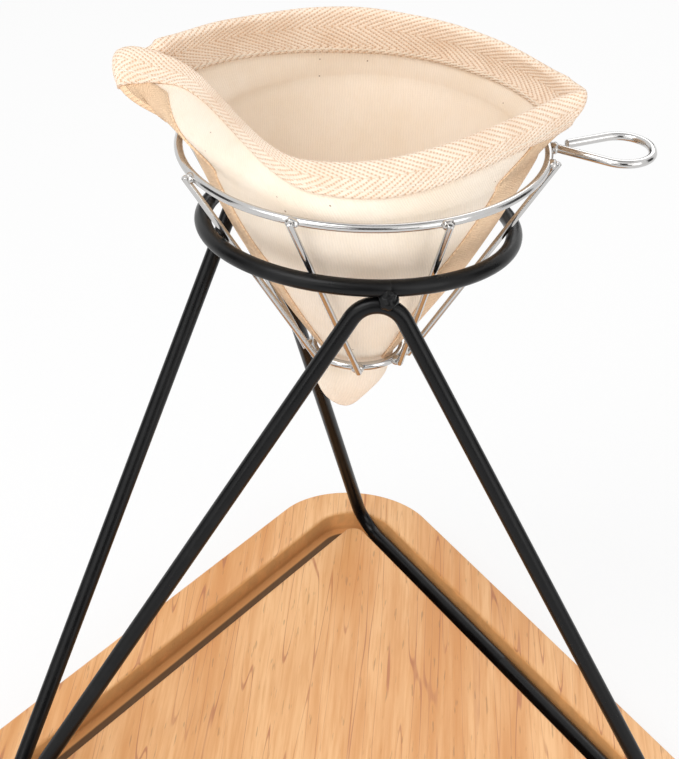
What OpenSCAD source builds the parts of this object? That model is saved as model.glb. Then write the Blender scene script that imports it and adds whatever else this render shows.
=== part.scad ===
// Coffee filter stand: a cloth filter in a wire basket, on a bent wire stand that stands in a grooved tray.
// Millimetres, +Z up. The origin is under the middle of the tray's box, and the user stands at -Y.

/* [Tray] */
// Distance between the centres of two rounded corners
corner_span = 187.4; // [170:1:230]
// Radius of the tray's corners
corner_r = 32; // [31:0.5:45]
// Thickness of the board
tray_h = 18; // [14:0.5:30]
// Width of the rim outside the groove
rim_w = 16.4; // [14:0.1:17]
// Width of the groove
groove_w = 11.3; // [10.5:0.1:12]
// Depth of the groove
groove_d = 7.9; // [5:0.1:10]
// Radius on the two upper edges of the groove
groove_edge_r = 1.2; // [0.5:0.1:1.8]
// Radius on the outer edges of the board
tray_edge_r = 2; // [0.5:0.1:4]

/* [Stand] */
// Diameter of the black wire
wire_d = 5; // [4:0.1:6]
// Gap between the floor rail and the outer wall of the groove
rail_gap = 1.55; // [1:0.05:2.5]
// Radius of the support ring, to the middle of the wire
ring_r = 46.4; // [42:0.2:50]
// Height of the support ring over the floor rail, middle to middle
ring_h = 182.2; // [150:1:220]
// Sideways place of the ring from the middle of the tray
ring_x = -6.6; // [-12:0.1:0]
// Place of the ring towards the back from the middle of the tray
ring_y = -0.8; // [-6:0.1:6]
// Direction of the front weld on the ring, from +X
front_weld_az = -81.5; // [-95:0.5:-70]
// Direction of the back weld on the ring, from +X
back_weld_az = 141.5; // [130:0.5:150]
// Bend radius at the top of each arch
arch_bend_r = 8.6; // [7:0.1:11]
// Bend radius where a leg turns into the floor rail
foot_bend_r = 9; // [8:0.1:10]
// Bend radius of the folded left foot
fold_bend_r = 2.9; // [2.6:0.1:3.4]
// Place of the left foot inwards from the corner of the rail line
left_foot_in = 11.8; // [11:0.1:13]
// Place of the left foot towards the back from the line to that corner
left_foot_side = 2.6; // [0:0.1:3]
// Distance of the right foot from the corner of the rail line
right_foot_in = 11.8; // [8:0.1:16]
// Distance of the back foot from the corner of the rail line
back_foot_in = 7; // [7:0.1:12]
// Diameter of a weld bead under the ring
frame_weld_d = 7; // [6:0.1:8]

/* [Basket] */
// Diameter of the two basket rings' wire
hoop_d = 2.6; // [2:0.1:3]
// Diameter of a spoke
spoke_d = 2; // [1.6:0.1:2.4]
// Radius of the top ring, to the middle of the wire
top_ring_r = 54; // [52:0.2:58]
// Radius of the lower ring, to the middle of the wire
low_ring_r = 13.8; // [12:0.2:16]
// Height from the lower ring to the top ring
basket_h = 68.1; // [60:0.5:75]
// Lean of the basket in the stand, raising its back
lean_back = 4.5; // [0:0.1:5]
// Lean of the basket in the stand, raising its handle
lean_side = 1.8; // [0:0.1:3]
// Reach of the spokes past the middle of each ring
spoke_over = 1; // [0.5:0.1:2]
// Diameter of a weld blob on the basket
blob_d = 3.6; // [3.2:0.1:4.2]
// Reach of the loop handle outside the top ring
handle_reach = 30.2; // [24:0.2:40]
// Width of the outer end of the loop handle
handle_w = 31; // [24:0.2:34]
// Gap between the open end of the handle and the top ring
handle_gap = 4.4; // [3:0.1:7]

/* [Filter] */
// Thickness of the cloth
cloth_t = 1.2; // [0.8:0.1:1.6]
// Thickness of the tape that binds the rim and the seams
tape_t = 0.9; // [0.5:0.1:1.2]
// Width of the rim tape outside
tape_out_w = 9.5; // [7:0.5:12]
// Width of the rim tape inside
tape_in_w = 13.5; // [10:0.5:16]
// Width of the seam tape on each side of a seam
seam_w = 6; // [4:0.5:8]
// Gap between the filter and the wire round it
cloth_gap = 0.6; // [0.5:0.1:1.2]
// Reach of the filter's tip below the lower ring
tip_drop = 22; // [12:1:40]
// Half width of the filter's tip
tip_hw = 8.2; // [6:0.2:9]
// Height of the left ear over the top ring
left_ear_z = 23.5; // [18:0.5:30]
// Height of the right ear over the top ring
right_ear_z = 17.5; // [14:0.5:26]
// Height of the rim over the top ring at the front
front_rim_z = 12; // [10:0.5:20]
// Height of the rim over the top ring at the back
back_rim_z = 21.5; // [18:0.5:30]
// Reach of the left ear from the axis
left_ear_x = 69; // [60:0.5:72]
// Reach of the right ear from the axis
right_ear_x = 61; // [56:0.5:66]
// Place of the left ear towards the back
left_ear_y = 13; // [0:0.5:16]
// Outward curl of the left ear
ear_curl = 4.5; // [0:0.5:7]
// Depth of the mouth from the line of the ears to the front
mouth_front = 49; // [42:0.5:54]
// Depth of the mouth from the line of the ears to the back
mouth_back = 41; // [36:0.5:46]
// Bulge of the cloth between the two rings
cloth_bulge = 1.6; // [0:0.1:2]

/* [Fits] */
// Gap that a weld bead fills
weld_gap = 0.15; // [0.1:0.05:0.3]
// Gap under the wire stand in its groove
stand_gap = 0.2; // [0.1:0.05:0.4]
// Gap between the spokes and the support ring
seat_gap = 0.2; // [0.15:0.05:0.4]

/* [Hidden] */
$fn = 48;
BEND_STEP = 12;
WIRE_SIDES = 18;

BLACK = [0.07, 0.07, 0.075];
BRIGHT = [0.80, 0.81, 0.83];
WOOD = [0.90, 0.71, 0.51];
CLOTH = [0.94, 0.88, 0.79];
TAPE = [0.96, 0.84, 0.70];

// Small vector and interpolation helpers
function unit(v) = v / norm(v);
function mix(a, b, w) = a + (b - a) * w;
function between(a, b) = acos(unit(a) * unit(b));
function polar(r, az, z) = [r * cos(az), r * sin(az), z];

// Tray: three equal corners, the first one at the back
groove_out_r = corner_r - rim_w;
groove_in_r = groove_out_r - groove_w;
tri_r = corner_span / sqrt(3);
tray_y = -tri_r / 4;

// Wire line: the triangle that the floor rail would follow if it went all the way round the groove
rail_off = groove_out_r - rail_gap - wire_d / 2;
rail_r = tri_r + 2 * rail_off;
rail_z = tray_h - groove_d + stand_gap + wire_d / 2;
tray_c = [0, tray_y, 0];
corner_k = tray_c + polar(rail_r, 90, rail_z);
corner_l = tray_c + polar(rail_r, 210, rail_z);
corner_right = tray_c + polar(rail_r, 330, rail_z);
ring_c = tray_c + [ring_x, ring_y, rail_z + ring_h];

// Tops of the arches, under the ring, and the lowest point of the folded left foot
front_top = ring_c + polar(ring_r, front_weld_az, -wire_d - weld_gap);
back_top = ring_c + polar(ring_r, back_weld_az, -wire_d - weld_gap);
left_low = corner_l + polar(left_foot_in, 30, 0) + polar(left_foot_side, 120, 0);
back_foot = corner_k + unit(corner_right - corner_k) * back_foot_in;
right_foot = corner_right + unit(corner_k - corner_right) * right_foot_in;

// A bend whose curve passes through a given point has its straight runs meeting at this corner
function bend_corner(top, a, b, r, guess) =
  let(ua = unit(a - guess), ub = unit(b - guess), half = between(ua, ub) / 2)
  top - unit(ua + ub) * r * (1 / sin(half) - 1);

// The corners of the bent wire: left foot, front top, back top. Each pass brings them closer.
function wire_corners(n) = n == 0 ? [left_low, front_top, back_top]
  : let(p = wire_corners(n - 1))
    [bend_corner(left_low, p[1], p[2], fold_bend_r, p[0]),
     bend_corner(front_top, p[0], right_foot, arch_bend_r, p[1]),
     bend_corner(back_top, p[0], back_foot, arch_bend_r, p[2])];
settled = wire_corners(8);
left_foot = settled[0];
front_corner = settled[1];
back_corner = settled[2];

// Basket: a cone that hangs in the ring
slope = atan2(top_ring_r - low_ring_r, basket_h);
spoke_off = ((hoop_d + spoke_d) / 2 + weld_gap) / cos(slope);
spoke_top_az = [-150.4, -109.4, -64.6, -10.6, 36, 80, 124, 168];
spoke_low_az = [-132.6, -88.4, -37.4, -13, 56, 100, 144, 186];
SPOKES = len(spoke_top_az);

function spoke_top(i) = polar(top_ring_r + spoke_off, spoke_top_az[i], 0);
function spoke_low(i) = polar(low_ring_r + spoke_off, spoke_low_az[i], -basket_h);

// The lean as a turn about X and then about Y, and the basket's own axis
function lean(p) =
  let(y = p[1] * cos(lean_back) - p[2] * sin(lean_back), z = p[1] * sin(lean_back) + p[2] * cos(lean_back))
  [p[0] * cos(lean_side) - z * sin(lean_side), y, p[0] * sin(lean_side) + z * cos(lean_side)];
axis = lean([0, 0, 1]);

// A leaning cone meets the level ring off its axis, so the basket slips until it is centred in the ring
seat_r = ring_r - (wire_d + spoke_d) / 2;
slip = -[axis[0], axis[1], 0] * seat_r * tan(slope);

// The basket's middle when its top ring is h over the support ring, measured along the basket's axis
function basket_c(h) = ring_c + slip + axis * h;

// Gap between the ring's middle line and one spoke's middle line, where the spoke crosses the ring's height
function spoke_gap(i, h) =
  let(a = basket_c(h) + lean(spoke_top(i)), b = basket_c(h) + lean(spoke_low(i)),
      w = (a[2] - ring_c[2]) / (a[2] - b[2]), p = mix(a, b, w) - ring_c, d = unit(a - b),
      out = unit([p[0], p[1], 0]), along = [-out[1], out[0], 0], side = cross(along, d))
  (ring_r - norm(p)) * abs(out * side) / norm(side);
function least_gap(h) = min([for (i = [0:SPOKES - 1]) spoke_gap(i, h)]);

// The seat: the lowest place of the basket at which every spoke clears the ring
function seat(lo, hi, n) = n == 0 ? hi
  : let(m = (lo + hi) / 2)
    least_gap(m) < (wire_d + spoke_d) / 2 + seat_gap ? seat(m, hi, n - 1) : seat(lo, m, n - 1);
seat_h = seat(0, basket_h, 18);

// Loop handle: leaves the ring, goes round and comes back to its open end
HANDLE_FRONT = 0.46;
HANDLE_SLANT = 0.5;
handle_front = handle_w * HANDLE_FRONT;
handle_bead = 1.6;
handle_weld_d = 3.2;
BEAD_CLEAR = 0.05;
handle_route = [
  [top_ring_r + hoop_d / 2 + handle_bead, 0.6, 0],
  [top_ring_r + handle_reach, -handle_front, 0],
  [top_ring_r + handle_reach + HANDLE_SLANT, handle_w - handle_front, 0],
  [top_ring_r + hoop_d / 2 + handle_gap, 4.2, 0],
];
// Each bend of the handle takes this share of its outer end, so the end is nearly one round
HANDLE_SHARE = 0.48;
handle_bends = [for (n = [1, 2])
  let(p = handle_route[n], half = between(handle_route[n - 1] - p, handle_route[n + 1] - p) / 2)
  HANDLE_SHARE * norm(handle_route[2] - handle_route[1]) * tan(half)];

// Filter, in the basket's own axes. v runs up the cloth: 0 tip, 1 lower ring, 2 top ring, 3 rim.
// t runs across it: -1 left seam, 1 right seam. side is -1 for the front and 1 for the back.
inside_wire = (hoop_d / 2 + cloth_gap + tape_t + cloth_t) / cos(slope);
low_hw = low_ring_r - inside_wire;
ring_hw = top_ring_r - inside_wire;
TIP_ROUND = 0.4;
TOP_LEVEL = 3;
TIP_SHIFT = -4;
RIGHT_CURL = 1.5;
FLARE = 1.7;
// Sideways place of the fullest point of the rim at the front and at the back
FRONT_CREST = -14;
BACK_CREST = 1;
// How sharp the ears are at the front and at the back, with more at the left end of the front
FRONT_SHARP = 1.8;
FRONT_SLANT = 0.2;
BACK_SHARP = 0.7;

function zone(v) = v < 1 ? 0 : v < 2 ? 1 : 2;
function part_of(v) = v - zone(v);
function half_w(v, ear, curl) =
  let(w = part_of(v))
  zone(v) == 0 ? mix(tip_hw, low_hw, sin(90 * w))
  : zone(v) == 1 ? mix(low_hw, ring_hw, w) + cloth_bulge * sin(180 * w)
  : mix(ring_hw, ear, pow(sin(90 * w), FLARE)) + curl * pow(sin(180 * w), 2);
function depth(v, side) =
  let(w = part_of(v), rim = side < 0 ? mouth_front : mouth_back)
  zone(v) == 0 ? low_hw * sin(90 * w)
  : zone(v) == 1 ? mix(low_hw, ring_hw, w) + cloth_bulge * sin(180 * w)
  : mix(ring_hw, rim, 1 - cos(90 * w));
// How far the cloth has turned from a cone into a mouth with two ears
function opened(v) = max(0, v - 1.5) / 1.5;
// The power that shapes the section: 1 is an ellipse and more is a lens with sharp ears
function sharp(v, t, side) =
  1 + (side < 0 ? FRONT_SHARP - FRONT_SLANT * t : BACK_SHARP) * pow(opened(v), 1.5);
// Sideways place of the fullest point of the section, and of the whole section near the tip
function crest(v, side) = (side < 0 ? FRONT_CREST : BACK_CREST) * opened(v);
function tip_shift(v) = TIP_SHIFT * pow(max(0, 1 - v), 2);

function cloth_xy(v, t, side) =
  let(c = cos(90 * t), s = sin(90 * t), m = crest(v, side), u = max(0, v - 2),
      left = -half_w(v, left_ear_x, ear_curl), right = half_w(v, right_ear_x, RIGHT_CURL),
      x = t < 0 ? m + s * (m - left) : m + s * (right - m),
      ear_y = mix(left_ear_y * u * u, 0, (x - left) / (right - left)))
  [x + tip_shift(v), ear_y + side * depth(v, side) * (c <= 0 ? 0 : pow(c, sharp(v, t, side)))];

function cloth_z(v, t, side) =
  let(s = sin(90 * t), w = part_of(v), ear = mix(left_ear_z, right_ear_z, (1 + s) / 2),
      mid = (left_ear_z + right_ear_z) / 2,
      rim = ear + (1 - s * s) * (side < 0 ? front_rim_z - mid : back_rim_z - mid))
  zone(v) == 0 ? -basket_h - tip_drop * (1 - w) * (1 - TIP_ROUND * s * s * (1 - w))
  : zone(v) == 1 ? -basket_h * (1 - w)
  : rim * w;

// A point of the cloth, moved out of the inner face by k
STEP = 0.04;
function face_pt(v, t, side) = concat(cloth_xy(v, t, side), [cloth_z(v, t, side)]);
function cloth_pt(v, t, side, k) =
  let(across = face_pt(v, min(1, t + STEP), side) - face_pt(v, max(-1, t - STEP), side),
      up = face_pt(min(TOP_LEVEL, v + STEP), t, side) - face_pt(max(0, v - STEP), t, side))
  face_pt(v, t, side) - side * unit(cross(across, up)) * k;

// The level that a tape of width w reaches down to from the rim
RIM_EDGE_LEAST = 2.16;
function tape_v(t, side, w, lo, hi, n) = n == 0 ? lo
  : let(m = (lo + hi) / 2)
    norm(cloth_pt(m, t, side, 0) - cloth_pt(3, t, side, 0)) < w
      ? tape_v(t, side, w, lo, m, n - 1) : tape_v(t, side, w, m, hi, n - 1);

// The place across the cloth that a tape of width w reaches in to from a seam
function seam_t(v, side, end, w, lo, hi, n) = n == 0 ? end * hi
  : let(m = (lo + hi) / 2)
    norm(cloth_xy(v, end * m, side) - cloth_xy(v, end, side)) < w
      ? seam_t(v, side, end, w, lo, m, n - 1) : seam_t(v, side, end, w, m, hi, n - 1);

// Columns of points from seam to seam. The first three and the last three follow the seam tapes.
COLUMNS = 21;
function column_t(j, v, side) =
  let(a = seam_t(v, side, -1, seam_w, 0, 1, 9), b = seam_t(v, side, 1, seam_w, 0, 1, 9))
  j < 2 ? mix(-1, a, j / 2)
  : j > COLUMNS - 3 ? mix(1, b, (COLUMNS - 1 - j) / 2)
  : mix(a, b, (j - 2) / (COLUMNS - 5));
function cloth_at(j, v, side, k) = cloth_pt(v, column_t(j, v, side), side, k);
function columns(down) = down ? [COLUMNS - 1:-1:0] : [0:COLUMNS - 1];

// Levels of points up a column: up to the top ring, over its neck, and four on a rim tape of width w
LOW_LEVELS = [0, 0.2, 0.45, 0.7, 1, 1.2, 1.4, 1.6, 1.8, 2, 2.1];
LOW_TOP = 2.1;
NECK_STEPS = [0.35, 0.7];
TAPE_STEPS = [0, 0.35, 0.7, 1];
function rim_edge(j, side, w) = tape_v(column_t(j, 3, side), side, w, RIM_EDGE_LEAST, 3, 9);
function rim_levels(j, side, w) = let(e = rim_edge(j, side, w)) [for (s = TAPE_STEPS) mix(e, 3, s)];
function levels(j, side, w) = let(r = rim_levels(j, side, w)) concat(LOW_LEVELS, [for (s = NECK_STEPS) mix(LOW_TOP, r[0], s)], r);

// A closed skin over sections that each hold an outer run and then, backwards, an inner run
function skin_points(sections) = [for (s = sections) for (p = s) p];
function skin_faces(n, m, turn) =
  let(half = m / 2,
      sides = [for (j = [0:n - 2]) for (i = [0:m - 1])
        let(a = j * m + i, b = j * m + (i + 1) % m, c = b + m, d = a + m)
        for (f = [[a, b, c], [a, c, d]]) f],
      caps = [for (e = [0, n - 1]) for (i = [0:half - 2])
        let(a = e * m + i, b = a + 1, c = e * m + m - 2 - i, d = c + 1)
        for (f = [[a, c, b], [a, d, c]]) e == 0 ? f : [f[0], f[2], f[1]]])
  [for (f = concat(sides, caps)) turn ? [f[0], f[2], f[1]] : f];

module skin(sections, turn) {
  polyhedron(skin_points(sections), skin_faces(len(sections), len(sections[0]), turn));
}

function flip(list) = [for (i = [len(list) - 1:-1:0]) list[i]];

// Round wire: straight rods, and bent wire that is swept along its route
module rod(p, q, d) {
  v = q - p;
  translate(p) rotate([0, acos(v[2] / norm(v)), atan2(v[1], v[0])]) cylinder(d = d, h = norm(v));
}

function run_in(p, a, b, r) = r / tan(between(a - p, b - p) / 2);
function bend_middle(p, a, b, r) = p + unit(unit(a - p) + unit(b - p)) * r / sin(between(a - p, b - p) / 2);
function bend_start(p, a, b, r) = p + unit(a - p) * run_in(p, a, b, r);

// Stations of the bend at p between the runs from a and to b, each a place and a heading.
// first and last say which share of the turn is taken.
function bend_stations(p, a, b, r, first = 0, last = 1) =
  let(middle = bend_middle(p, a, b, r), x = unit(bend_start(p, a, b, r) - middle),
      y = cross(unit(cross(b - p, a - p)), x), turn = 180 - between(a - p, b - p),
      n = ceil(turn * (last - first) / BEND_STEP))
  [for (i = [0:n]) let(g = turn * mix(first, last, i / n))
    [middle + (x * cos(g) + y * sin(g)) * r, y * cos(g) - x * sin(g)]];

// The side vectors of the stations, each the last one turned as little as possible
function side_vectors(st, i = 0, last = undef) = i == len(st) ? []
  : let(h = st[i][1], from = is_undef(last) ? cross(h, [0.3, 0.5, 0.8]) : last, n = unit(from - h * (from * h)))
    concat([n], side_vectors(st, i + 1, n));

module bent_wire(stations, d) {
  n = side_vectors(stations);
  sections = [for (i = [0:len(stations) - 1]) let(m = cross(stations[i][1], n[i]))
    [for (j = [0:WIRE_SIDES - 1]) let(g = 360 * (j + 0.5) / WIRE_SIDES)
      stations[i][0] + (n[i] * cos(g) + m * sin(g)) * d / 2]];
  skin(sections, true);
}

// The same bend as a true ring piece, to fit a weld bead to
module bend(p, a, b, r, d) {
  middle = bend_middle(p, a, b, r);
  x = unit(bend_start(p, a, b, r) - middle);
  z = unit(cross(b - p, a - p));
  y = cross(z, x);
  multmatrix([[x[0], y[0], z[0], middle[0]], [x[1], y[1], z[1], middle[1]], [x[2], y[2], z[2], middle[2]]])
    rotate_extrude(angle = 180 - between(a - p, b - p)) translate([r, 0]) circle(d = d);
}

module hoop(r, d) {
  rotate_extrude($fn = 192) translate([r, 0]) circle(d = d, $fn = 24);
}

// Tray. Its profile runs from the flat between the grooves over the groove and the rim to the underside,
// as points with their place outwards from the centres of the corners and their height.
function arc(x, z, r, from, to, n) =
  [for (i = [0:n]) let(a = mix(from, to, i / n)) [x + r * cos(a), z + r * sin(a)]];
tray_profile = concat(
  arc(groove_in_r - groove_edge_r, tray_h - groove_edge_r, groove_edge_r, 90, 0, 4),
  [for (x = [groove_in_r, groove_out_r]) [x, tray_h - groove_d]],
  arc(groove_out_r + groove_edge_r, tray_h - groove_edge_r, groove_edge_r, 180, 90, 4),
  arc(corner_r - tray_edge_r, tray_h - tray_edge_r, tray_edge_r, 90, 0, 6),
  arc(corner_r - tray_edge_r, tray_edge_r, tray_edge_r, 0, -90, 6));
CORNER_STEPS = 18;

module tray() {
  m = len(tray_profile);
  stations = [for (az = [90, 210, 330]) for (i = [0:CORNER_STEPS]) [az, az - 60 + 120 * i / CORNER_STEPS]];
  n = len(stations);
  points = [for (s = stations) for (p = tray_profile) tray_c + polar(tri_r, s[0], 0) + polar(p[0], s[1], p[1])];
  sides = [for (i = [0:n - 1]) for (j = [0:m - 2])
    let(a = i * m + j, b = ((i + 1) % n) * m + j) [a, b, b + 1, a + 1]];
  top = [for (i = [n - 1:-1:0]) i * m];
  underside = [for (i = [0:n - 1]) i * m + m - 1];
  color(WOOD) polyhedron(points, concat(sides, [top, underside]));
}

// Stand
module support_ring() {
  color(BLACK) translate(ring_c) hoop(ring_r, wire_d);
}

module front_arch() {
  color(BLACK) bent_wire(concat(
    bend_stations(left_foot, back_corner, front_corner, fold_bend_r, first = 0.5),
    bend_stations(front_corner, left_foot, right_foot, arch_bend_r),
    bend_stations(right_foot, front_corner, back_foot, foot_bend_r)), wire_d);
}

module left_arch() {
  color(BLACK) bent_wire(concat(
    bend_stations(left_foot, front_corner, back_corner, fold_bend_r, first = 0.5),
    bend_stations(back_corner, left_foot, back_foot, arch_bend_r),
    bend_stations(back_foot, back_corner, right_foot, foot_bend_r)), wire_d);
}

module floor_rail() {
  color(BLACK) rod(
    bend_start(back_foot, right_foot, back_corner, foot_bend_r),
    bend_start(right_foot, back_foot, front_corner, foot_bend_r), wire_d);
}

module frame_welds() {
  color(BLACK) difference() {
    for (az = [front_weld_az, back_weld_az])
      translate(ring_c + polar(ring_r, az, -(wire_d + weld_gap) / 2)) sphere(d = frame_weld_d);
    support_ring();
    bend(front_corner, left_foot, right_foot, arch_bend_r, wire_d);
    bend(back_corner, left_foot, back_foot, arch_bend_r, wire_d);
  }
}

// Basket
module in_basket() {
  translate(basket_c(seat_h)) rotate([lean_back, -lean_side, 0]) children();
}

module top_ring() {
  color(BRIGHT) in_basket() hoop(top_ring_r, hoop_d);
}

module lower_ring() {
  color(BRIGHT) in_basket() translate([0, 0, -basket_h]) hoop(low_ring_r, hoop_d);
}

module spoke_rod(i) {
  u = unit(spoke_top(i) - spoke_low(i));
  rod(spoke_low(i) - u * spoke_over, spoke_top(i) + u * spoke_over, spoke_d);
}

module spoke(i) {
  color(BRIGHT) in_basket() spoke_rod(i);
}

// The blobs at one end of the spokes, each between a spoke and its ring. They are turned along the ring.
module blobs(r, z, ends) {
  for (i = [0:SPOKES - 1]) in_basket() let(az = atan2(ends[i][1], ends[i][0])) difference() {
    translate(mix(ends[i], polar(r, az, z), 0.5)) rotate(az + 90) sphere(d = blob_d);
    translate([0, 0, z]) hoop(r, hoop_d);
    spoke_rod(i);
  }
}

module top_welds() {
  color(BRIGHT) blobs(top_ring_r, 0, [for (i = [0:SPOKES - 1]) spoke_top(i)]);
}

module lower_welds() {
  color(BRIGHT) blobs(low_ring_r, -basket_h, [for (i = [0:SPOKES - 1]) spoke_low(i)]);
}

module loop_handle() {
  r = handle_route;
  color(BRIGHT) in_basket() bent_wire(concat(
    [[r[0], unit(r[1] - r[0])]],
    bend_stations(r[1], r[0], r[2], handle_bends[0]),
    bend_stations(r[2], r[1], r[3], handle_bends[1]),
    [[r[3], unit(r[3] - r[2])]]), hoop_d);
}

// The bead between the ring and the flat end of the handle's wire
module handle_weld() {
  start = handle_route[0];
  u = unit(handle_route[1] - start);
  inner = top_ring_r + hoop_d / 2 + BEAD_CLEAR;
  outer = start[0] - abs(u[1]) * hoop_d / 2 - BEAD_CLEAR;
  color(BRIGHT) in_basket() rod([inner, start[1], 0], [outer, start[1], 0], handle_weld_d);
}

// Filter
module panel(side) {
  sections = [for (j = columns(side > 0)) concat(
    [for (v = levels(j, side, tape_out_w)) cloth_at(j, v, side, cloth_t)],
    [for (v = flip(levels(j, side, tape_in_w))) cloth_at(j, v, side, 0)])];
  skin(sections, false);
}

module front_panel() {
  color(CLOTH) in_basket() panel(-1);
}

module back_panel() {
  color(CLOTH) in_basket() panel(1);
}

// The tape runs up the outside, over the rim and down the inside, where it thins out in the ears
EAR_TAPE = 0.1;
LIP_SHARE = 0.6;
module rim_tape(side) {
  sections = [for (j = columns(side < 0))
    let(out = rim_levels(j, side, tape_out_w), in = rim_levels(j, side, tape_in_w),
        k = j == 0 || j == COLUMNS - 1 ? EAR_TAPE : tape_t,
        lip = unit(cloth_at(j, 3, side, 0) - cloth_at(j, out[2], side, 0)) * tape_t)
    concat(
      [for (n = [0:2]) cloth_at(j, out[n], side, cloth_t + tape_t)],
      [cloth_at(j, 3, side, cloth_t + tape_t * LIP_SHARE) + lip, cloth_at(j, 3, side, -k * LIP_SHARE) + lip],
      [for (n = [2:-1:0]) cloth_at(j, in[n], side, -k)],
      [for (n = [0:3]) cloth_at(j, in[n], side, 0)],
      [for (n = [3:-1:0]) cloth_at(j, out[n], side, cloth_t)])];
  skin(sections, true);
}

module front_rim_tape() {
  color(TAPE) in_basket() rim_tape(-1);
}

module back_rim_tape() {
  color(TAPE) in_basket() rim_tape(1);
}

// The tape wraps one seam, from near the tip to just under the rim tape
SEAM_LEVELS = [for (v = LOW_LEVELS) if (v > 0.4) v];
SEAM_STEPS = concat(NECK_STEPS, [0.95]);
function seam_level(n, j, side) = let(m = len(SEAM_LEVELS))
  n < m ? SEAM_LEVELS[n] : mix(LOW_TOP, rim_edge(j, side, tape_out_w), SEAM_STEPS[n - m]);
function seam_ridge(n, j, k) =
  let(v = seam_level(n, j, 1), p = cloth_at(j, v, 1, 0))
  p + unit(cloth_at(j, v, -1, k) + cloth_at(j, v, 1, k) - 2 * p) * k;
module seam_tape(end) {
  last = len(SEAM_LEVELS) + len(SEAM_STEPS) - 1;
  in = end < 0 ? [2, 1, 0] : [COLUMNS - 3, COLUMNS - 2, COLUMNS - 1];
  out = flip(in);
  sections = [for (n = end < 0 ? [0:last] : [last:-1:0]) concat(
    [for (j = in) cloth_at(j, seam_level(n, j, -1), -1, cloth_t + tape_t)],
    [seam_ridge(n, in[2], cloth_t + tape_t)],
    [for (j = out) cloth_at(j, seam_level(n, j, 1), 1, cloth_t + tape_t)],
    [for (j = in) cloth_at(j, seam_level(n, j, 1), 1, cloth_t)],
    [seam_ridge(n, in[2], cloth_t)],
    [for (j = out) cloth_at(j, seam_level(n, j, -1), -1, cloth_t)])];
  skin(sections, false);
}

module left_seam_tape() {
  color(TAPE) in_basket() seam_tape(-1);
}

module right_seam_tape() {
  color(TAPE) in_basket() seam_tape(1);
}

tray();
support_ring();
front_arch();
left_arch();
floor_rail();
frame_welds();
top_ring();
lower_ring();
for (i = [0:SPOKES - 1]) spoke(i);
top_welds();
lower_welds();
loop_handle();
handle_weld();
front_panel();
back_panel();
front_rim_tape();
back_rim_tape();
left_seam_tape();
right_seam_tape();
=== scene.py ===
import math

import bmesh
import bpy
from mathutils import Euler, Matrix, Vector, noise


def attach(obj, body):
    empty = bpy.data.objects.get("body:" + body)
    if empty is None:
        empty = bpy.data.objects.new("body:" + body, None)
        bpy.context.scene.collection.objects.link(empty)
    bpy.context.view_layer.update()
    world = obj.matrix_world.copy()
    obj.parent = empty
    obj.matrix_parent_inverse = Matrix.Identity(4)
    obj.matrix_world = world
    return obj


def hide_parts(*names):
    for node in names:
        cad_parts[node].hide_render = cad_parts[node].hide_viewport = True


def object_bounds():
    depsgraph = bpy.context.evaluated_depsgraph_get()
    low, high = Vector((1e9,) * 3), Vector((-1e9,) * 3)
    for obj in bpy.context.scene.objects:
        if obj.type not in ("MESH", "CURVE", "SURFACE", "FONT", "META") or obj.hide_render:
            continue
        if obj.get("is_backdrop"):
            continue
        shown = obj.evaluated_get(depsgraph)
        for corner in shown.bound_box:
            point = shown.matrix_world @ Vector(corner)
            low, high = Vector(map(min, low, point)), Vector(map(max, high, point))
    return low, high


bl_info = {
    "name": "Coffee filter stand",
    "version": (1, 0, 0),
    "blender": (4, 5, 0),
    "location": "3D View > Sidebar > Filter stand",
    "description": "A wooden tray, a black wire stand, a bright wire basket and a cloth filter",
    "category": "Add Mesh",
}

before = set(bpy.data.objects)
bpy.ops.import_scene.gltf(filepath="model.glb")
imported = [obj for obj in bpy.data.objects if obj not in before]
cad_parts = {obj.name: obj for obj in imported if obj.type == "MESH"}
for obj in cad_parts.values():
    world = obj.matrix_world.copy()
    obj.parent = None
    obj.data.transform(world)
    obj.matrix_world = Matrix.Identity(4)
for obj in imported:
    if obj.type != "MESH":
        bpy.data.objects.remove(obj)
CAD_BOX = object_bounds()
MM = 0.001

# Places of the bent stand wire's corners, in millimetres
LEFT_FOOT = Vector((-109.76, -87.417, 1.747))
FRONT_CORNER = Vector((0.187, -73.201, 198.653))
BACK_CORNER = Vector((-42.489, 0.713, 198.665))
RIGHT_FOOT = Vector((107.805, -82.478, 12.8))
BACK_FOOT = Vector((3.5, 98.184, 12.8))
RING_MIDDLE = Vector((-6.6, -27.8489, 195.0))
TRAY_MIDDLE = Vector((0, -27.05, 0))

# The basket hangs in the ring with a lean, so its parts are made upright and then moved here
IN_BASKET = (
    Matrix.Translation((-6.598, -27.844, 220.171))
    @ Matrix.Rotation(math.radians(-1.8), 4, "Y")
    @ Matrix.Rotation(math.radians(4.5), 4, "X")
)
SPOKE_TOP_AZ = (-150.4, -109.4, -64.6, -10.6, 36, 80, 124, 168)
SPOKE_LOW_AZ = (-132.6, -88.4, -37.4, -13, 56, 100, 144, 186)


def length(name, millimetres, text):
    return bpy.props.FloatProperty(
        name=name, description=text, default=millimetres * MM, min=0, precision=4, unit="LENGTH"
    )


def colour(name, rgb, text):
    linear = [c / 255 / 12.92 if c <= 10 else ((c / 255 + 0.055) / 1.055) ** 2.4 for c in rgb]
    return bpy.props.FloatVectorProperty(
        name=name, description=text, default=linear, size=3, min=0, max=1, subtype="COLOR"
    )


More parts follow.
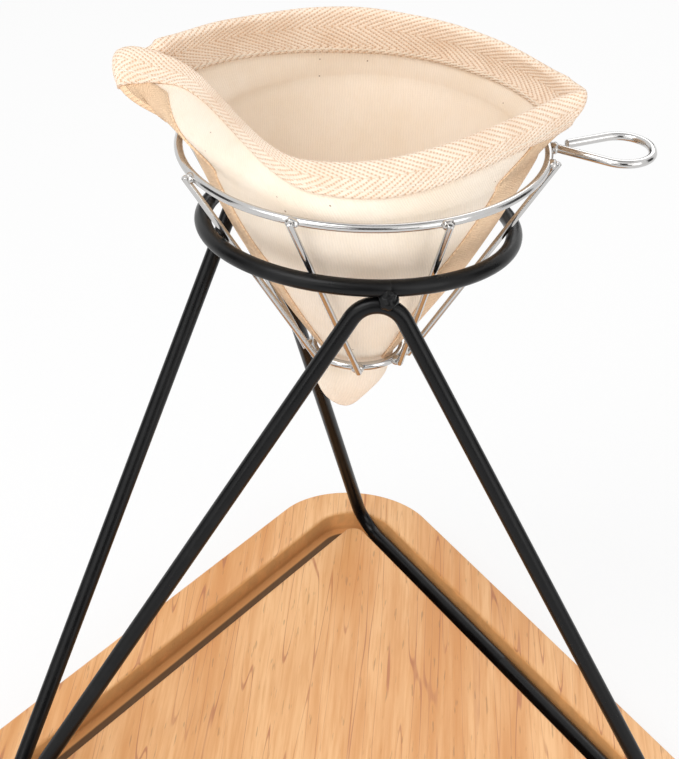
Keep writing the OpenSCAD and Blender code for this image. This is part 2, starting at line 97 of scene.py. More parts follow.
class TraySizes(bpy.types.PropertyGroup):
    span: length("Corner span", 187.4, "Distance between the centres of two rounded corners")
    corner: length("Corner radius", 32, "Radius of the board's corners")
    height: length("Thickness", 18, "Thickness of the board")
    rim: length("Rim", 16.4, "Width of the rim outside the groove")
    groove: length("Groove width", 11.3, "Width of the groove")
    depth: length("Groove depth", 7.9, "Depth of the groove")
    groove_round: length("Groove edge", 1.2, "Radius on the upper edges of the groove")
    edge_round: length("Board edge", 2, "Radius on the outer edges of the board")
    wood: colour("Wood", (248, 195, 139), "Colour of the pale wood between the streaks")
    streak: colour("Streak", (220, 153, 91), "Colour of the darker streaks")
    amber: colour("Amber", (209, 134, 62), "Colour of the amber patch by the back corner")
    routed: colour("Routed wood", (232, 168, 104), "Colour of the wood inside the groove")


class StandSizes(bpy.types.PropertyGroup):
    wire: length("Wire", 5, "Diameter of the black wire")
    ring: length("Ring", 46.4, "Radius of the support ring, to the middle of the wire")
    arch: length("Arch bend", 8.6, "Bend radius at the top of each arch")
    foot: length("Foot bend", 9, "Bend radius where a leg turns into the floor rail")
    fold: length("Fold bend", 2.9, "Bend radius of the folded left foot")
    coat: colour("Coat", (11, 11, 12), "Colour of the satin black coat")


class BasketSizes(bpy.types.PropertyGroup):
    hoop: length("Ring wire", 2.6, "Diameter of the two rings' wire and of the handle")
    spoke: length("Spoke wire", 2, "Diameter of a spoke")
    top: length("Top ring", 54, "Radius of the top ring, to the middle of the wire")
    low: length("Lower ring", 13.8, "Radius of the lower ring, to the middle of the wire")
    height: length("Height", 68.1, "Height from the lower ring to the top ring")
    reach: length("Handle reach", 30.2, "Reach of the loop handle outside the top ring")
    handle: length("Handle width", 31, "Width of the outer end of the handle")
    metal: colour("Metal", (200, 199, 198), "Colour of the bright metal")


class FilterSizes(bpy.types.PropertyGroup):
    cloth: length("Cloth", 1.2, "Thickness of the cloth")
    tape: length("Tape", 0.9, "Thickness of the tape")
    outside: length("Tape outside", 9.5, "Width of the rim tape outside")
    inside: length("Tape inside", 13.5, "Width of the rim tape inside")
    seam: length("Seam tape", 6, "Width of the seam tape on each side of a seam")
    tip_drop: length("Tip", 22, "Reach of the tip below the lower ring")
    left_up: length("Left ear height", 22, "Height of the left ear over the top ring")
    right_up: length("Right ear height", 17.5, "Height of the right ear over the top ring")
    front_up: length("Front height", 12, "Height of the rim over the top ring at the front")
    back_up: length("Back height", 21.5, "Height of the rim over the top ring at the back")
    left_out: length("Left ear reach", 71.5, "Reach of the left ear from the basket's axis")
    right_out: length("Right ear reach", 61, "Reach of the right ear from the basket's axis")
    front_deep: length("Front depth", 49, "Depth of the mouth in front of the ears")
    back_deep: length("Back depth", 41, "Depth of the mouth behind the ears")
    cloth_colour: colour("Cotton", (250, 236, 219), "Colour of the brushed cotton")
    tape_colour: colour("Herringbone tape", (255, 236, 216), "Colour of the rim tape")
    groove_colour: colour("Tape shade", (222, 178, 138), "Colour between the tape's threads")
    seam_colour: colour("Seam tape", (247, 214, 178), "Colour of the finer tape over the seams")


class FilterStand(bpy.types.PropertyGroup):
    tray: bpy.props.PointerProperty(type=TraySizes, name="Tray", description="The board")
    stand: bpy.props.PointerProperty(type=StandSizes, name="Stand", description="The black wire")
    basket: bpy.props.PointerProperty(type=BasketSizes, name="Basket", description="The bright wire")
    cloth: bpy.props.PointerProperty(type=FilterSizes, name="Filter", description="The cloth filter")


# Small helpers for shapes


def mix(a, b, w):
    return a + (b - a) * w


def sind(a):
    return math.sin(math.radians(a))


def cosd(a):
    return math.cos(math.radians(a))


def polar(r, az, z=0):
    return Vector((r * cosd(az), r * sind(az), z))


def finish_piece(name, bm, material, body, nodes, sharp=40):
    """Turns a mesh in millimetres into a piece in metres, smooth but for its sharp edges."""
    bmesh.ops.scale(bm, vec=(MM, MM, MM), verts=bm.verts)
    for face in bm.faces:
        face.smooth = True
    for edge in bm.edges:
        if len(edge.link_faces) == 2 and edge.calc_face_angle(0) > math.radians(sharp):
            edge.smooth = False
    mesh = bpy.data.meshes.new(name)
    bm.to_mesh(mesh)
    bm.free()
    piece = bpy.data.objects.new(name, mesh)
    bpy.context.scene.collection.objects.link(piece)
    mesh.materials.append(material)
    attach(piece, body)
    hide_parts(*nodes)
    return piece


def push(bm, edges, shift, grow=1.0, about=None):
    """Draws a loop of edges out by shift, scaled about a point, and returns the new loop."""
    made = bmesh.ops.extrude_edge_only(bm, edges=edges)["geom"]
    verts = [g for g in made if isinstance(g, bmesh.types.BMVert)]
    if grow != 1.0:
        bmesh.ops.scale(bm, vec=(grow,) * 3, space=Matrix.Translation(-about), verts=verts)
    bmesh.ops.translate(bm, vec=shift, verts=verts)
    return [g for g in made if isinstance(g, bmesh.types.BMEdge)]


def close_end(bm, edges, at, heading, r, soft):
    """Closes a wire's end with a rounded edge of radius soft."""
    last, size = 0.0, 1.0
    for a in (30, 60, 90):
        new = (r - soft * (1 - cosd(a))) / r
        edges = push(bm, edges, heading * soft * (sind(a) - last), new / size, at + heading * soft * last)
        last, size = sind(a), new
    bmesh.ops.contextual_create(bm, geom=edges)


def round_wire(bm, route, bends, d, sides, soft, step=6):
    """A round wire along straight runs, with a bend of the given radius at each inner corner."""
    heading = (route[1] - route[0]).normalized()
    turn = heading.to_track_quat("Z", "Y").to_matrix().to_4x4()
    at = route[0]
    circle = bmesh.ops.create_circle(bm, segments=sides, radius=d / 2, matrix=Matrix.Translation(at) @ turn)
    loop = list({e for v in circle["verts"] for e in v.link_edges})
    close_end(bm, loop, at, -heading, d / 2, soft)
    for n, r in enumerate(bends):
        p, b = route[n + 1], route[n + 2]
        out = (b - p).normalized()
        angle = heading.angle(out)
        start = p - heading * r * math.tan(angle / 2)
        loop = push(bm, loop, start - at)
        side = (out - heading).normalized()
        centre = p + side * r / math.cos(angle / 2)
        geom = loop + list({v for e in loop for v in e.verts})
        spun = bmesh.ops.spin(
            bm, geom=geom, cent=centre, axis=heading.cross(out), angle=angle,
            steps=max(4, math.ceil(math.degrees(angle) / step)), use_duplicate=False,
        )
        loop = [g for g in spun["geom_last"] if isinstance(g, bmesh.types.BMEdge)]
        at, heading = p + out * r * math.tan(angle / 2), out
    loop = push(bm, loop, route[-1] - at)
    close_end(bm, loop, route[-1], heading, d / 2, soft)
    bmesh.ops.recalc_face_normals(bm, faces=bm.faces)


def ring_wire(bm, r, d, z, steps, sides, gap=0.0, at_az=0.0):
    """A ring of round wire. With a gap its two ends stay apart as a butt joint."""
    middle = polar(r, at_az, z)
    along = polar(1, at_az + 90)
    turn = along.to_track_quat("Z", "Y").to_matrix().to_4x4()
    circle = bmesh.ops.create_circle(bm, segments=sides, radius=d / 2, matrix=Matrix.Translation(middle) @ turn)
    loop = list({e for v in circle["verts"] for e in v.link_edges})
    spun = bmesh.ops.spin(
        bm, geom=loop + circle["verts"], cent=(0, 0, z), axis=(0, 0, 1),
        angle=math.radians(360 - gap), steps=steps, use_merge=gap == 0, use_duplicate=False,
    )
    if gap:
        last = [g for g in spun["geom_last"] if isinstance(g, bmesh.types.BMEdge)]
        close_end(bm, loop, middle, -along, d / 2, 0.25)
        end = at_az - gap
        close_end(bm, last, polar(r, end, z), polar(1, end + 90), d / 2, 0.25)
    bmesh.ops.recalc_face_normals(bm, faces=bm.faces)


def bead(bm, at, size, seed, rough=0.12, turn=None):
    """A drop of weld metal, round but not quite even."""
    ball = bmesh.ops.create_icosphere(bm, subdivisions=4, radius=1)
    for v in ball["verts"]:
        lump = noise.noise(v.co * 1.3 + Vector((seed, seed * 0.7, 0)))
        ripple = noise.noise(v.co * 4 + Vector((0, seed, 3)))
        v.co *= 1 + rough * lump + rough * 0.25 * ripple
    place = Matrix.Translation(at) @ (turn or Matrix.Identity(4)) @ Matrix.Diagonal((*size, 1))
    bmesh.ops.transform(bm, matrix=place, verts=ball["verts"])


# Small helpers for finishes


def blank(name):
    material = bpy.data.materials.new(name)
    material.use_nodes = True
    tree = material.node_tree
    return material, tree, tree.nodes["Principled BSDF"]


def node(tree, kind, settings=None, **sockets):
    """Adds a shader node. Each socket takes a number, a colour or another node's output."""
    made = tree.nodes.new(kind)
    for key, value in (settings or {}).items():
        setattr(made, key, value)
    for key, value in sockets.items():
        socket = made.inputs[int(key[1:])] if key[0] == "i" and key[1:].isdigit() else made.inputs[key.replace("_", " ")]
        if isinstance(value, bpy.types.NodeSocket):
            tree.links.new(value, socket)
        else:
            socket.default_value = value
    return made


def calc(tree, operation, a, b=0.0, c=0.0):
    return node(tree, "ShaderNodeMath", {"operation": operation}, i0=a, i1=b, i2=c).outputs[0]


def blend(tree, share, a, b, how="MIX"):
    """Mixes two colours, each a socket or three numbers."""
    made = node(tree, "ShaderNodeMix", {"data_type": "RGBA", "blend_type": how}, i0=share)
    for slot, value in ((6, a), (7, b)):
        if isinstance(value, bpy.types.NodeSocket):
            tree.links.new(value, made.inputs[slot])
        else:
            made.inputs[slot].default_value = (*value, 1)
    return made.outputs[2]


def between(tree, value, low, high, out_low=0.0, out_high=1.0):
    return node(
        tree, "ShaderNodeMapRange", {"interpolation_type": "SMOOTHSTEP"},
        i0=value, i1=low, i2=high, i3=out_low, i4=out_high,
    ).outputs[0]


def cloud(tree, place, scale, detail=3.0, rough=0.5, stretch=(1, 1, 1), turn=0.0):
    """Soft noise on the given coordinates, drawn out by stretch."""
    moved = node(
        tree, "ShaderNodeMapping", Vector=place, Scale=tuple(scale / s for s in stretch),
        Rotation=(0, 0, math.radians(turn)),
    ).outputs[0]
    return node(tree, "ShaderNodeTexNoise", Vector=moved, Scale=1.0, Detail=detail, Roughness=rough).outputs[0]


def bump(tree, shader, height, distance, strength=1.0, under=None):
    made = node(tree, "ShaderNodeBump", Height=height, Distance=distance, Strength=strength)
    if under:
        tree.links.new(under, made.inputs["Normal"])
    tree.links.new(made.outputs[0], shader.inputs["Normal"])
    return made.outputs[0]


def object_place(tree):
    return node(tree, "ShaderNodeTexCoord").outputs["Object"]


def thread_place(tree):
    """The cloth's own coordinates in millimetres: along it and across it."""
    uv = node(tree, "ShaderNodeTexCoord").outputs["UV"]
    parts = node(tree, "ShaderNodeSeparateXYZ", Vector=uv)
    return uv, calc(tree, "MULTIPLY", parts.outputs[0], 100), calc(tree, "MULTIPLY", parts.outputs[1], 100)


# Tray


def oiled_wood(sizes):
    """Pale board with straight streaks, fine pores and a darker routed groove. Its floor and the feet of its walls
    carry painted shade, and its inner side carries a near-black painted shadow.
    """
    material, tree, shader = blank("oiled_wood")
    place = object_place(tree)
    turned = node(tree, "ShaderNodeMapping", Vector=place, Rotation=(0, 0, math.radians(1.5))).outputs[0]
    drift = cloud(tree, turned, 18, 2, stretch=(1, 6, 2))
    bent = node(tree, "ShaderNodeVectorMath", {"operation": "MULTIPLY_ADD"}, i0=drift, i1=(0.005, 0, 0), i2=turned).outputs[0]
    broad = cloud(tree, bent, 55, 3, 0.55, (1, 14, 2), 5)
    streak = cloud(tree, bent, 260, 6, 0.62, (1, 26, 2), 5)
    fine = cloud(tree, bent, 1100, 4, 0.6, (1, 30, 2), 5)
    pores = cloud(tree, bent, 900, 2, 0.5, (1, 12, 2), 5)
    tone = calc(tree, "MULTIPLY_ADD", broad, 0.75, calc(tree, "MULTIPLY", streak, 0.5))
    tone = between(tree, tone, 0.48, 0.82)
    wood = blend(tree, tone, tuple(sizes.wood), tuple(sizes.streak))
    wood = blend(tree, between(tree, fine, 0.42, 0.7, 0, 0.5), wood, tuple(sizes.streak))
    lines = calc(tree, "ABSOLUTE", calc(tree, "SUBTRACT", cloud(tree, bent, 240, 0, 0.5, (1, 30, 2), 5), 0.5))
    here = between(tree, streak, 0.35, 0.6, 0.2, 0.95)
    wood = blend(tree, calc(tree, "MULTIPLY", between(tree, lines, 0.016, 0.003), here), wood, (0.52, 0.2, 0.085))
    patch = node(tree, "ShaderNodeMapping", Vector=place, Location=(0.0, -1.15, 0), Scale=(60, 22, 1)).outputs[0]
    away = node(tree, "ShaderNodeVectorMath", {"operation": "LENGTH"}, i0=patch).outputs["Value"]
    away = calc(tree, "ADD", away, calc(tree, "MULTIPLY", streak, 0.9))
    wood = blend(tree, between(tree, away, 0.5, 1.5, 0.55, 0), wood, tuple(sizes.amber))
    wood = blend(tree, between(tree, pores, 0.64, 0.72, 0, 0.5), wood, (0.36, 0.19, 0.085), "MIX")
    level = node(tree, "ShaderNodeSeparateXYZ", Vector=place).outputs[2]
    floor = sizes.height - sizes.depth
    across = node(tree, "ShaderNodeAttribute", {"attribute_name": "groove"}).outputs["Fac"]
    cut = calc(tree, "MULTIPLY", between(tree, across, 0.5, 0.9), between(tree, level, floor + 0.0076, floor + 0.007))
    routed = blend(tree, between(tree, streak, 0.35, 0.7), tuple(sizes.routed), tuple(c * 1.2 for c in sizes.routed))
    # Painted shade: the groove's floor and the lowest part of its walls are darkened by height, as shade in the
    # recess.
    painted_floor_shade = between(tree, level, floor + 0.0025, floor + 0.0006)
    routed = blend(tree, calc(tree, "MULTIPLY", painted_floor_shade, 0.75), routed, tuple(c * 0.8 for c in sizes.routed))
    # Painted shadow: the inner part of the groove, along the plateau's wall, is painted near black as the shadow the
    # plateau casts into it.
    foot = calc(tree, "MULTIPLY", between(tree, across, 1.78, 1.7), 0.93)
    routed = blend(tree, foot, routed, (0.03, 0.018, 0.01))
    wood = blend(tree, calc(tree, "MULTIPLY", cut, 0.93), wood, routed)
    tree.links.new(wood, shader.inputs["Base Color"])
    shine = between(tree, calc(tree, "ADD", fine, cut), 0.3, 1.5, 0.42, 0.75)
    tree.links.new(shine, shader.inputs["Roughness"])
    shader.inputs["Specular IOR Level"].default_value = 0.35
    relief = calc(tree, "SUBTRACT", calc(tree, "MULTIPLY", fine, 0.6), between(tree, pores, 0.6, 0.7))
    bump(tree, shader, relief, 0.00012, 0.5)
    return material


class STAND_OT_tray(bpy.types.Operator):
    """Board with rounded corners and a groove all round, swept from one profile"""

    bl_idname = "filter_stand.tray"
    bl_label = "Tray"

    def execute(self, context):
        s = context.scene.filter_stand.tray
        corner, high, deep = s.corner / MM, s.height / MM, s.depth / MM
        out = corner - s.rim / MM
        inner = out - s.groove / MM
        g, e = s.groove_round / MM, s.edge_round / MM
        bm = bmesh.new()
        mark = bm.verts.layers.float.new("groove")
        places = [(inner - g - 1.5, high), (inner, high), (inner, high - deep), (out, high - deep), (out, high)]
        places += [(corner, high), (corner, 0), (corner - e - 1.5, 0)]
        verts = [bm.verts.new((x, 0, z)) for x, z in places]
        line = [bm.edges.new(pair) for pair in zip(verts, verts[1:])]
        for v, r in ((1, g), (2, 0.6), (3, 0.6), (4, g), (5, e), (6, e)):
            bmesh.ops.bevel(
                bm, geom=[verts[v]], offset=r, offset_type="OFFSET", segments=6, profile=0.5,
                affect="VERTICES", material=-1,
            )
        for v in bm.verts:
            in_groove = inner - 0.6 < v.co.x < out + 0.6 and v.co.z < high - 0.05
            v[mark] = 1 + (v.co.x - inner) / (out - inner) if in_groove else 0.0
        first = Vector(polar(s.span / MM / math.sqrt(3), 90)) + TRAY_MIDDLE
        bmesh.ops.rotate(bm, cent=(0, 0, 0), matrix=Matrix.Rotation(math.radians(30), 3, "Z"), verts=bm.verts)
        bmesh.ops.translate(bm, vec=first, verts=bm.verts)
        loop = list(bm.edges)
        for az in (90, 210, 330):
            centre = TRAY_MIDDLE + polar(s.span / MM / math.sqrt(3), az)
            geom = loop + list({v for edge in loop for v in edge.verts})
            spun = bmesh.ops.spin(
                bm, geom=geom, cent=centre, axis=(0, 0, 1), angle=math.radians(120), steps=40, use_duplicate=False
            )
            loop = [x for x in spun["geom_last"] if isinstance(x, bmesh.types.BMEdge)]
            loop = push(bm, loop, polar(s.span / MM, az + 150))
        bmesh.ops.remove_doubles(bm, verts=bm.verts, dist=0.01)
        edges = [edge for edge in bm.edges if edge.is_boundary]
        for level in (high, 0):
            rim = [edge for edge in edges if abs(edge.verts[0].co.z - level) < 0.01]
            bmesh.ops.contextual_create(bm, geom=rim)
        bmesh.ops.recalc_face_normals(bm, faces=bm.faces)
        finish_piece("tray_board", bm, oiled_wood(s), "base", ["tray"], sharp=50)
        return {"FINISHED"}


# Stand


def satin_black(sizes):
    """Black powder coat with a fine orange peel."""
    material, tree, shader = blank("satin_black")
    place = object_place(tree)
    peel = cloud(tree, place, 1500, 2, 0.5)
    cloudy = cloud(tree, place, 90, 3, 0.6)
    coat = tuple(sizes.coat)
    worn = tuple(c * 2.2 + 0.004 for c in coat)
    tree.links.new(blend(tree, between(tree, cloudy, 0.5, 0.8, 0, 0.5), coat, worn), shader.inputs["Base Color"])
    tree.links.new(between(tree, cloudy, 0.3, 0.7, 0.25, 0.36), shader.inputs["Roughness"])
    shader.inputs["Specular IOR Level"].default_value = 0.22
    bump(tree, shader, peel, 0.00006, 0.35)
    return material


class STAND_OT_wire(bpy.types.Operator):
    """Support ring, bent stand wire and the two weld beads, in black"""

    bl_idname = "filter_stand.wire"
    bl_label = "Wire stand"

    def execute(self, context):
        s = context.scene.filter_stand.stand
        black = satin_black(s)
        d, ring = s.wire / MM, s.ring / MM
        bm = bmesh.new()
        ring_wire(bm, ring, d, 0, 180, 40, gap=0.36, at_az=-78.1)
        bmesh.ops.translate(bm, vec=RING_MIDDLE, verts=bm.verts)
        finish_piece("stand_ring", bm, black, "stand", ["support_ring"], 60)
        middle = (RIGHT_FOOT + BACK_FOOT) / 2
        along = (RIGHT_FOOT - BACK_FOOT).normalized()
        bm = bmesh.new()
        route = [middle + along * 0.1, RIGHT_FOOT, FRONT_CORNER, LEFT_FOOT, BACK_CORNER, BACK_FOOT, middle - along * 0.1]
        bends = [s.foot / MM, s.arch / MM, s.fold / MM, s.arch / MM, s.foot / MM]
        round_wire(bm, route, bends, d, 40, 0.25)
        finish_piece("stand_wire", bm, black, "stand", ["front_arch", "left_arch", "floor_rail"], 60)
        bm = bmesh.new()
        for seed, az in ((1.7, -78.6), (5.3, 141.5)):
            spot = RING_MIDDLE + polar(ring + 0.6, az, -d / 2 - 0.9)
            bead(bm, spot, (3.6, 3.0, 3.2), seed, 0.2, Matrix.Rotation(math.radians(az), 4, "Z"))
            bead(bm, spot + polar(0.9, az - 20, 2.2), (2.3, 2.0, 1.9), seed + 2, 0.2)
        bmesh.ops.recalc_face_normals(bm, faces=bm.faces)
        finish_piece("stand_beads", bm, black, "stand", ["frame_welds"], 60)
        return {"FINISHED"}


# Basket


def bright_steel(sizes, name="bright_steel", heat=0.0):
    """Polished wire with faint drawn lines. Heat gives the straw tint of a weld."""
    material, tree, shader = blank(name)
    place = object_place(tree)
    drawn = cloud(tree, place, 900, 3, 0.6, (1, 1, 8))
    smear = cloud(tree, place, 160, 3, 0.6)
    tint = blend(tree, between(tree, smear, 0.3, 0.7, 0.1 + heat, 0.0), tuple(sizes.metal), (0.45, 0.38, 0.3))
    tree.links.new(tint, shader.inputs["Base Color"])
    tree.links.new(between(tree, smear, 0.3, 0.75, 0.1 + heat / 3, 0.2 + heat / 3), shader.inputs["Roughness"])
    shader.inputs["Metallic"].default_value = 1
    bump(tree, shader, drawn, 0.00003, 0.3)
    return material


class STAND_OT_basket(bpy.types.Operator):
    """Two rings, eight spokes, their weld beads and the loop handle, in bright wire"""

    bl_idname = "filter_stand.basket"
    bl_label = "Wire basket"

    def execute(self, context):
        s = context.scene.filter_stand.basket
        bright = bright_steel(s)
        hoop, spoke, high = s.hoop / MM, s.spoke / MM, s.height / MM
        top, low = s.top / MM, s.low / MM
        for name, r, z, replaced in (("basket_top_ring", top, 0, "top_ring"), ("basket_lower_ring", low, -high, "lower_ring")):
            bm = bmesh.new()
            ring_wire(bm, r, hoop, z, 240 if r > 30 else 96, 28)
            bm.transform(IN_BASKET)
            finish_piece(name, bm, bright, "basket", [replaced], 60)
        slope = math.atan2(top - low, high)
        off = ((hoop + spoke) / 2 + 0.15) / math.cos(slope)
        bm, beads = bmesh.new(), bmesh.new()
        for n, (a, b) in enumerate(zip(SPOKE_TOP_AZ, SPOKE_LOW_AZ)):
            up, down = polar(top + off, a), polar(low + off, b, -high)
            u = (up - down).normalized()
            part = bmesh.new()
            round_wire(part, [down - u, up + u * 0.5], [], spoke, 24, 0.35)
            held = bpy.data.meshes.new("spoke")
            part.to_mesh(held)
            part.free()
            bm.from_mesh(held)
            bpy.data.meshes.remove(held)
            for end, r, az, z in ((up, top, a, 0), (down, low, b, -high)):
                spot = mix(end, polar(r, az, z), 0.5)
                turn = Matrix.Rotation(math.radians(az), 4, "Z")
                bead(beads, spot, (1.55, 1.95, 1.5), n * 3.1 + z, 0.16, turn)
        bm.transform(IN_BASKET)
        finish_piece("basket_spokes", bm, bright, "basket", [f"spoke_{n + 1}" for n in range(8)], 60)
        front = s.handle / MM * 0.46
        out = top + s.reach / MM
        route = [
            Vector((top + hoop / 2 + 0.3, 1.4, 0)),
            Vector((out, -front, 0)),
            Vector((out + 0.5, s.handle / MM - front, 0)),
            Vector((top + hoop / 2 + 4.4, 4.2, 0)),
        ]
        bm = bmesh.new()
        end = 0.48 * (route[2] - route[1]).length
        bends = [end * math.tan((route[n - 1] - route[n]).angle(route[n + 1] - route[n]) / 2) for n in (1, 2)]
        round_wire(bm, route, bends, hoop, 28, 0.3, step=5)
        bm.transform(IN_BASKET)
        finish_piece("basket_handle", bm, bright, "basket", ["loop_handle"], 60)
        bead(beads, Vector((top + hoop / 2 + 0.5, 1.2, 0)), (1.5, 2.1, 1.7), 9.4, 0.16)
        bmesh.ops.recalc_face_normals(beads, faces=beads.faces)
        beads.transform(IN_BASKET)
        straw = bright_steel(s, "welded_steel", 0.25)
        finish_piece("basket_beads", beads, straw, "basket", ["top_welds", "lower_welds", "handle_weld"], 60)
        return {"FINISHED"}


# Filter. Up the cloth v is 0 at the tip, 1 at the lower ring, 2 at the top ring and 3 at the rim.
# Across it t is -1 at the left seam and 1 at the right one, and side is -1 in front and 1 behind.


class ClothForm:
    """The filter's shape in millimetres, upright in the basket."""

    STEP = 0.04

    def __init__(self, s, basket):
        slope = math.atan2(basket.top - basket.low, basket.height)
        inside = (basket.hoop / MM / 2 + 0.6 + (s.tape + s.cloth) / MM) / math.cos(slope)
        self.low = basket.low / MM - inside
        self.ring = basket.top / MM - inside
        self.high = basket.height / MM
        self.s = {k: getattr(s, k) / MM for k in s.bl_rna.properties.keys() if isinstance(getattr(s, k), float)}
        self.cloth, self.tape = self.s["cloth"], self.s["tape"]

    def half_width(self, v, ear, curl):
        w = v - (0 if v < 1 else 1 if v < 2 else 2)
        if v < 1:
            return mix(8.2, self.low, sind(90 * w))
        if v < 2:
            return mix(self.low, self.ring, w) + 1.6 * sind(180 * w)
        return mix(self.ring, ear, sind(90 * min(w, 1)) ** 1.7) + curl * sind(180 * min(w, 1)) ** 2

    def deep(self, v, side):
        w = v - (0 if v < 1 else 1 if v < 2 else 2)
        if v < 1:
            return self.low * sind(90 * w)
        if v < 2:
            return mix(self.low, self.ring, w) + 1.6 * sind(180 * w)
        return mix(self.ring, self.s["front_deep" if side < 0 else "back_deep"], 1 - cosd(90 * w))

    def height(self, v, t, side):
        s = sind(90 * t)
        if v < 1:
            return -self.high - self.s["tip_drop"] * (1 - v) * (1 - 0.4 * s * s * (1 - v))
        if v < 2:
            return -self.high * (2 - v)
        left, right = self.s["left_up"], self.s["right_up"]
        crest = self.s["front_up" if side < 0 else "back_up"]
        return (mix(left, right, (1 + s) / 2) + (1 - s * s) * (crest - (left + right) / 2)) * (v - 2)

    def face(self, v, t, side):
        u, opened = max(0.0, v - 2), max(0.0, v - 1.5) / 1.5
        shut = (0.42 if side < 0 else 0.3) * opened**2 if t < 0 else 0
        c, s = max(0.0, cosd(90 * min(1, abs(t) / (1 - shut)))), sind(90 * t)
        m = (-14 if side < 0 else 1) * opened
        left = -self.half_width(v, self.s["left_out"], 4.5)
        right = self.half_width(v, self.s["right_out"], 1.5)
        x = m + s * (m - left) if t < 0 else m + s * (right - m)
        ear_y = mix(13 * u * u, 0, (x - left) / (right - left))
        left_end, right_end = (1.5, 1.7) if side < 0 else (0.4, 0.7)
        sharp = 1 + mix(left_end, right_end, (1 + s) / 2) * opened**1.5
        y = ear_y + side * self.deep(v, side) * (c**sharp if c > 1e-6 else 0)
        rolled = 4 * max(0, -s - 0.8) ** 2 / 0.04 * u * u
        return Vector((x - 4 * max(0.0, 1 - v) ** 2, y, self.height(v, t, side) - rolled))

    def normal(self, v, t, side):
        e = self.STEP
        across = self.face(v, min(1, t + e), side) - self.face(v, max(-1, t - e), side)
        up = self.face(min(3, v + e), t, side) - self.face(max(0, v - e), t, side)
        return across.cross(up).normalized() * -side

    def ripple(self, v, t, side):
        """Small waves of the cloth, stronger towards the free rim and none at the seams."""
        free = min(1.0, max(0.0, v - 2.1) / 0.6)
        calm = 1 - t**6
        broad = noise.noise(Vector((t * 3.2, v * 1.7, side * 7)))
        small = noise.noise(Vector((t * 9, v * 4.5, side * 3)))
        return calm * (broad * mix(0.22, 1.1, free) + small * mix(0.1, 0.25, free))

    def point(self, v, t, side, k):
        return self.face(v, t, side) + self.normal(v, t, side) * (k + self.ripple(v, t, side))

    def around(self, v, end, turn, k):
        """A point over a seam, turned from the front's direction at 0 to the back's at 1."""
        front, back = self.normal(v, end, -1), self.normal(v, end, 1)
        side = (front - back).normalized()
        ahead = self.face(v, end, 1) * 2 - self.face(v, end * 0.8, -1) - self.face(v, end * 0.8, 1)
        ahead = (ahead - side * ahead.dot(side)).normalized()
        start = math.atan2(front.dot(ahead), front.dot(side))
        a = mix(start, math.pi - start, turn)
        return self.face(v, end, 1) + (side * math.cos(a) + ahead * math.sin(a)) * k

    def level_below(self, t, side, down):
        """The level that lies down millimetres under the rim, measured on the cloth."""
        low, high, rim = 2.16, 3.0, self.face(3, t, side)
        for _ in range(12):
            m = (low + high) / 2
            if (self.face(m, t, side) - rim).length < down:
                high = m
            else:
                low = m
        return low

    def beside_seam(self, v, side, end, across):
        """The place across the cloth that lies so many millimetres in from a seam."""
        low, high, seam = 0.0, 1.0, self.face(v, end, side)
        for _ in range(12):
            m = (low + high) / 2
            if (self.face(v, end * m, side) - seam).length < across:
                high = m
            else:
                low = m
        return end * high


def cloth_grid(columns, rows, place, along_row, centre):
    """A sheet of columns by rows, each vertex put where place says, with its threads as UV.

    along_row is the row, and centre the column, from which the threads are measured."""
    bm = bmesh.new()
    made = bmesh.ops.create_grid(bm, x_segments=columns - 1, y_segments=rows - 1, size=1)
    if len(made["verts"]) != columns * rows:
        raise RuntimeError(f"the cloth's grid came out with {len(made['verts'])} vertices")
    spot, where = {}, {}
    for v in made["verts"]:
        key = (round((v.co.x + 1) / 2 * (columns - 1)), round((v.co.y + 1) / 2 * (rows - 1)))
        where[v] = key
    for v, key in where.items():
        v.co = spot[key] = place(*key)
    threads = {}
    for j in range(rows):
        run, line = 0.0, [0.0]
        row = j if along_row is None else along_row
        for i in range(1, columns):
            run += (spot[i, row] - spot[i - 1, row]).length
            line.append(run)
        for i in range(columns):
            threads[i, j] = [line[i] - line[centre], 0.0]
    for i in range(columns):
        run, line = 0.0, [0.0]
        for j in range(1, rows):
            run += (spot[i, j] - spot[i, j - 1]).length
            line.append(run)
        for j in range(rows):
            threads[i, j][1] = line[j] - (0 if along_row is None else line[along_row])
    layer = bm.loops.layers.uv.new("threads")
    for face in bm.faces:
        for loop in face.loops:
            a, b = threads[where[loop.vert]]
            loop[layer].uv = (a / 100, b / 100)
    return bm


def thicken(piece, millimetres, towards):
    wall = piece.modifiers.new("thickness", "SOLIDIFY")
    wall.thickness = millimetres * MM
    wall.offset = towards


